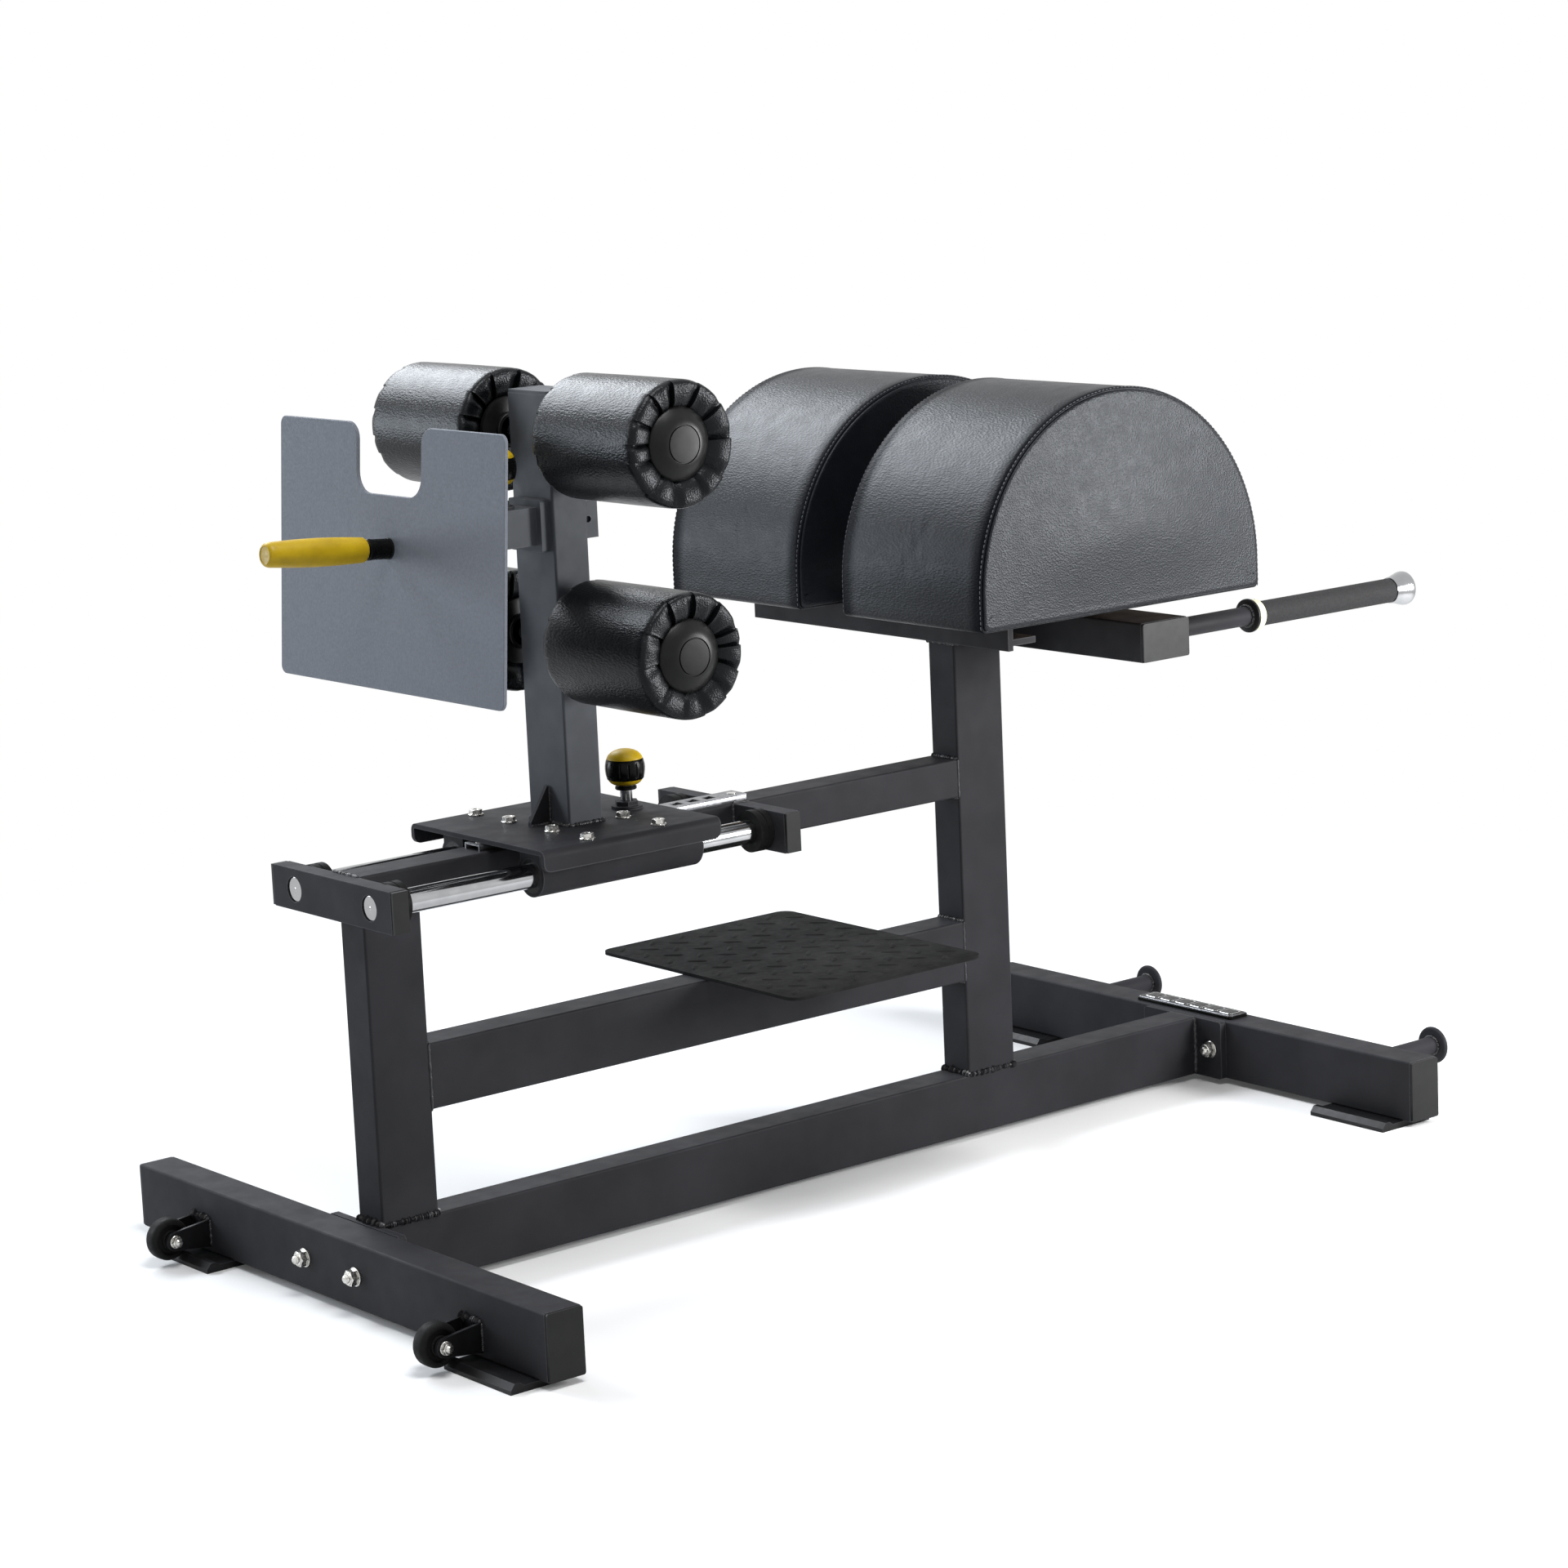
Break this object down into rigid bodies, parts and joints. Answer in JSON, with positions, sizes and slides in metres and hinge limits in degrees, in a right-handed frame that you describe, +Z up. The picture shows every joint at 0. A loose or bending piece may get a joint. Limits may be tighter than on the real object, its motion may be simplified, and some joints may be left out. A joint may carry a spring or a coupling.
{
  "type": "glute ham developer",
  "caption": "Glute and hamstring bench with a sliding foot plate and ankle rollers, split half-round thigh pads, rear handles, a step plate and transport wheels.",
  "frame": {"origin": "centre of the bounding box on the floor", "axes": "+Z up, +X from the foot plate end towards the handles, Y across the machine"},
  "size_m": [1.675, 0.866, 1.0637],
  "materials": {
    "powder_coat": "matte",
    "foot_plate_coat": "matte",
    "zinc_fasteners": "satin",
    "galvanised": "satin",
    "bright_rod": "polished",
    "black_rubber": "matte",
    "black_plastic": "satin",
    "cream_trim": "satin",
    "yellow_plastic": "satin",
    "board": "matte",
    "black_leatherette": "satin"
  },
  "bodies": {
    "frame": {"front_base_bar": "powder_coat", "rear_base_bar": "powder_coat", "end_caps": "powder_coat", "base_beam": "powder_coat", "base_flanges": "powder_coat", "base_bolts": "zinc_fasteners", "feet": "black_rubber", "wheel_forks": "powder_coat", "wheel_axles": "zinc_fasteners", "band_pegs": "powder_coat", "front_upright": "powder_coat", "main_upright": "powder_coat", "mid_beam": "powder_coat", "upper_beam": "powder_coat", "front_rail_bar": "powder_coat", "rear_rail_bar": "powder_coat", "guide_rods": "bright_rod", "stop_rings": "black_rubber", "index_strip": "galvanised", "strip_screws": "zinc_fasteners", "step_plate": "powder_coat", "step_arms": "powder_coat", "cross_tube": "powder_coat", "pad_rails": "powder_coat", "front_angle": "powder_coat", "handle_beam": "powder_coat", "handle_tubes": "powder_coat", "handle_rings": "black_plastic", "handle_trims": "cream_trim", "handle_grips": "black_rubber", "handle_ends": "bright_rod", "pad_boards": "board", "pad_bolts": "zinc_fasteners", "thigh_pad_left": "black_leatherette", "thigh_pad_right": "black_leatherette"},
    "carriage": {"carriage_plate": "powder_coat", "bearing_housings": "powder_coat", "plain_bushes": "black_plastic", "carriage_bolts": "zinc_fasteners", "roller_post": "powder_coat", "post_cap": "powder_coat", "post_gusset": "powder_coat", "arm_sleeve": "powder_coat", "roller_shafts": "bright_rod", "pin_bases": "powder_coat"},
    "foot_plate_slider": {"foot_plate": "foot_plate_coat", "foot_plate_arm": "powder_coat", "foot_plate_grip": "yellow_plastic", "grip_collar": "black_rubber", "grip_bolt": "zinc_fasteners"},
    "carriage_pop_pin": {"carriage_pin": "bright_rod", "carriage_knob": "yellow_plastic"},
    "arm_pop_pin": {"arm_pin": "bright_rod", "arm_knob": "yellow_plastic"},
    "upper_left_roller": {"roller_upper_left": "black_leatherette"},
    "upper_right_roller": {"roller_upper_right": "black_leatherette"},
    "lower_left_roller": {"roller_lower_left": "black_leatherette"},
    "lower_right_roller": {"roller_lower_right": "black_leatherette"},
    "left_wheel": {"wheel_left": "black_rubber"},
    "right_wheel": {"wheel_right": "black_rubber"}
  },
  "joints": [
    {"name": "carriage_slide", "type": "slide", "parent": "frame", "child": "carriage", "axis": [1, 0, 0], "range_m": [-0.175, 0.075]},
    {"name": "foot_plate_slide", "type": "slide", "parent": "carriage", "child": "foot_plate_slider", "axis": [1, 0, 0], "range_m": [-0.075, 0.075]},
    {"name": "carriage_pin_pull", "type": "slide", "parent": "carriage", "child": "carriage_pop_pin", "axis": [0, 0, 1], "range_m": [-0.007, 0.005]},
    {"name": "arm_pin_pull", "type": "slide", "parent": "carriage", "child": "arm_pop_pin", "axis": [0, 0, 1], "range_m": [-0.007, 0.005]},
    {"name": "upper_left_roller_spin", "type": "hinge", "parent": "carriage", "child": "upper_left_roller", "pos_m": [-0.3865, 0.167, 0.9897], "axis": [0, 1, 0], "continuous": true},
    {"name": "upper_right_roller_spin", "type": "hinge", "parent": "carriage", "child": "upper_right_roller", "pos_m": [-0.3865, -0.167, 0.9897], "axis": [0, 1, 0], "continuous": true},
    {"name": "lower_left_roller_spin", "type": "hinge", "parent": "carriage", "child": "lower_left_roller", "pos_m": [-0.3865, 0.167, 0.7459], "axis": [0, 1, 0], "continuous": true},
    {"name": "lower_right_roller_spin", "type": "hinge", "parent": "carriage", "child": "lower_right_roller", "pos_m": [-0.3865, -0.167, 0.7459], "axis": [0, 1, 0], "continuous": true},
    {"name": "left_wheel_spin", "type": "hinge", "parent": "frame", "child": "left_wheel", "pos_m": [-0.8115, 0.288, 0.033], "axis": [0, 1, 0], "continuous": true},
    {"name": "right_wheel_spin", "type": "hinge", "parent": "frame", "child": "right_wheel", "pos_m": [-0.8115, -0.288, 0.033], "axis": [0, 1, 0], "continuous": true}
  ]
}
